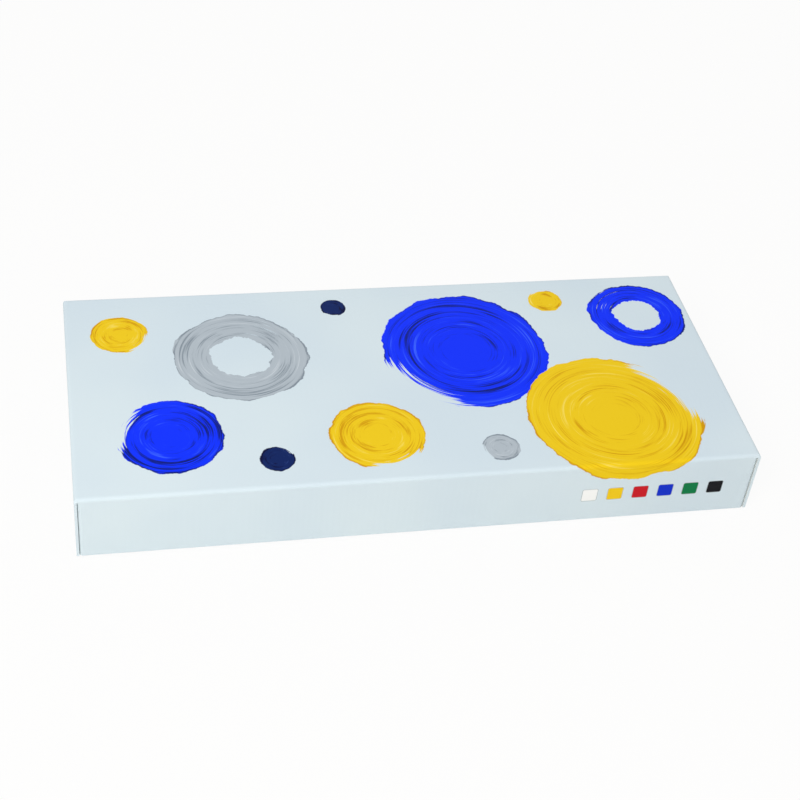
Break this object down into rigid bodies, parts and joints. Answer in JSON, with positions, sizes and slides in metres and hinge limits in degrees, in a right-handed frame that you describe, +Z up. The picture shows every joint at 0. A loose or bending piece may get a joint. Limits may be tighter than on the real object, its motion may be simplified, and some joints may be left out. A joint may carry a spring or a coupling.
{
  "type": "paint box",
  "caption": "Flat cardboard paint box with a hinged lid, a formed insert, tubes of paint and a bottle of medium with screw caps",
  "frame": {"origin": "middle of the box on the surface it stands on", "axes": "+X to the right along the box as seen from the front, -Y towards the front skirt, +Z up through the lid"},
  "size_m": [0.37, 0.165, 0.041],
  "materials": {
    "carton": "satin",
    "insert_film": "gloss",
    "cap_plastic": "satin",
    "liner_foam": "matte",
    "bottle_plastic": "satin",
    "tube_white": "satin",
    "tube_yellow": "satin",
    "tube_red": "satin",
    "tube_blue": "satin",
    "tube_green": "satin",
    "tube_black": "satin"
  },
  "bodies": {
    "box": {"base_tray": "carton", "insert_white": "insert_film", "insert_yellow": "insert_film", "insert_red": "insert_film", "insert_blue": "insert_film", "insert_green": "insert_film", "insert_black": "insert_film", "insert_bottle": "insert_film", "tube_white": "tube_white", "tube_yellow": "tube_yellow", "tube_red": "tube_red", "tube_blue": "tube_blue", "tube_green": "tube_green", "tube_black": "tube_black", "medium_bottle": "bottle_plastic"},
    "lid": {"lid": "carton"},
    "liner_white": {"cap_liner_white": "liner_foam"},
    "cap_white": {"tube_cap_white": "cap_plastic"},
    "liner_yellow": {"cap_liner_yellow": "liner_foam"},
    "cap_yellow": {"tube_cap_yellow": "cap_plastic"},
    "liner_red": {"cap_liner_red": "liner_foam"},
    "cap_red": {"tube_cap_red": "cap_plastic"},
    "liner_blue": {"cap_liner_blue": "liner_foam"},
    "cap_blue": {"tube_cap_blue": "cap_plastic"},
    "liner_green": {"cap_liner_green": "liner_foam"},
    "cap_green": {"tube_cap_green": "cap_plastic"},
    "liner_black": {"cap_liner_black": "liner_foam"},
    "cap_black": {"tube_cap_black": "cap_plastic"},
    "liner_bottle": {"bottle_liner": "liner_foam"},
    "cap_bottle": {"bottle_cap": "cap_plastic"}
  },
  "joints": [
    {"name": "lid_hinge", "type": "hinge", "parent": "box", "child": "lid", "pos_m": [0, 0.08191, 0.04041], "axis": [-1, 0, 0], "range_deg": [0, 180]},
    {"name": "cap_white_rise", "type": "slide", "parent": "box", "child": "liner_white", "axis": [0, -1, 0], "range_m": [0, 0.008]},
    {"name": "cap_white_turn", "type": "hinge", "parent": "liner_white", "child": "cap_white", "pos_m": [-0.15229, -0.057, 0.0186], "axis": [0, -1, 0], "range_deg": [0, 900]},
    {"name": "cap_yellow_rise", "type": "slide", "parent": "box", "child": "liner_yellow", "axis": [0, -1, 0], "range_m": [0, 0.008]},
    {"name": "cap_yellow_turn", "type": "hinge", "parent": "liner_yellow", "child": "cap_yellow", "pos_m": [-0.10109, -0.057, 0.0186], "axis": [0, -1, 0], "range_deg": [0, 900]},
    {"name": "cap_red_rise", "type": "slide", "parent": "box", "child": "liner_red", "axis": [0, -1, 0], "range_m": [0, 0.008]},
    {"name": "cap_red_turn", "type": "hinge", "parent": "liner_red", "child": "cap_red", "pos_m": [-0.0499, -0.057, 0.0186], "axis": [0, -1, 0], "range_deg": [0, 900]},
    {"name": "cap_blue_rise", "type": "slide", "parent": "box", "child": "liner_blue", "axis": [0, -1, 0], "range_m": [0, 0.008]},
    {"name": "cap_blue_turn", "type": "hinge", "parent": "liner_blue", "child": "cap_blue", "pos_m": [0.0013, -0.057, 0.0186], "axis": [0, -1, 0], "range_deg": [0, 900]},
    {"name": "cap_green_rise", "type": "slide", "parent": "box", "child": "liner_green", "axis": [0, -1, 0], "range_m": [0, 0.008]},
    {"name": "cap_green_turn", "type": "hinge", "parent": "liner_green", "child": "cap_green", "pos_m": [0.05249, -0.057, 0.0186], "axis": [0, -1, 0], "range_deg": [0, 900]},
    {"name": "cap_black_rise", "type": "slide", "parent": "box", "child": "liner_black", "axis": [0, -1, 0], "range_m": [0, 0.008]},
    {"name": "cap_black_turn", "type": "hinge", "parent": "liner_black", "child": "cap_black", "pos_m": [0.10369, -0.057, 0.0186], "axis": [0, -1, 0], "range_deg": [0, 900]},
    {"name": "cap_bottle_rise", "type": "slide", "parent": "box", "child": "liner_bottle", "axis": [0, -1, 0], "range_m": [0, 0.008]},
    {"name": "cap_bottle_turn", "type": "hinge", "parent": "liner_bottle", "child": "cap_bottle", "pos_m": [0.15359, -0.057, 0.0201], "axis": [0, -1, 0], "range_deg": [0, 900]}
  ],
  "couplings": [
    {"joint": "cap_white_rise", "follows": "cap_white_turn", "m_per_rad": 0.00050929},
    {"joint": "cap_yellow_rise", "follows": "cap_yellow_turn", "m_per_rad": 0.00050929},
    {"joint": "cap_red_rise", "follows": "cap_red_turn", "m_per_rad": 0.00050929},
    {"joint": "cap_blue_rise", "follows": "cap_blue_turn", "m_per_rad": 0.00050929},
    {"joint": "cap_green_rise", "follows": "cap_green_turn", "m_per_rad": 0.00050929},
    {"joint": "cap_black_rise", "follows": "cap_black_turn", "m_per_rad": 0.00050929},
    {"joint": "cap_bottle_rise", "follows": "cap_bottle_turn", "m_per_rad": 0.00050929}
  ]
}
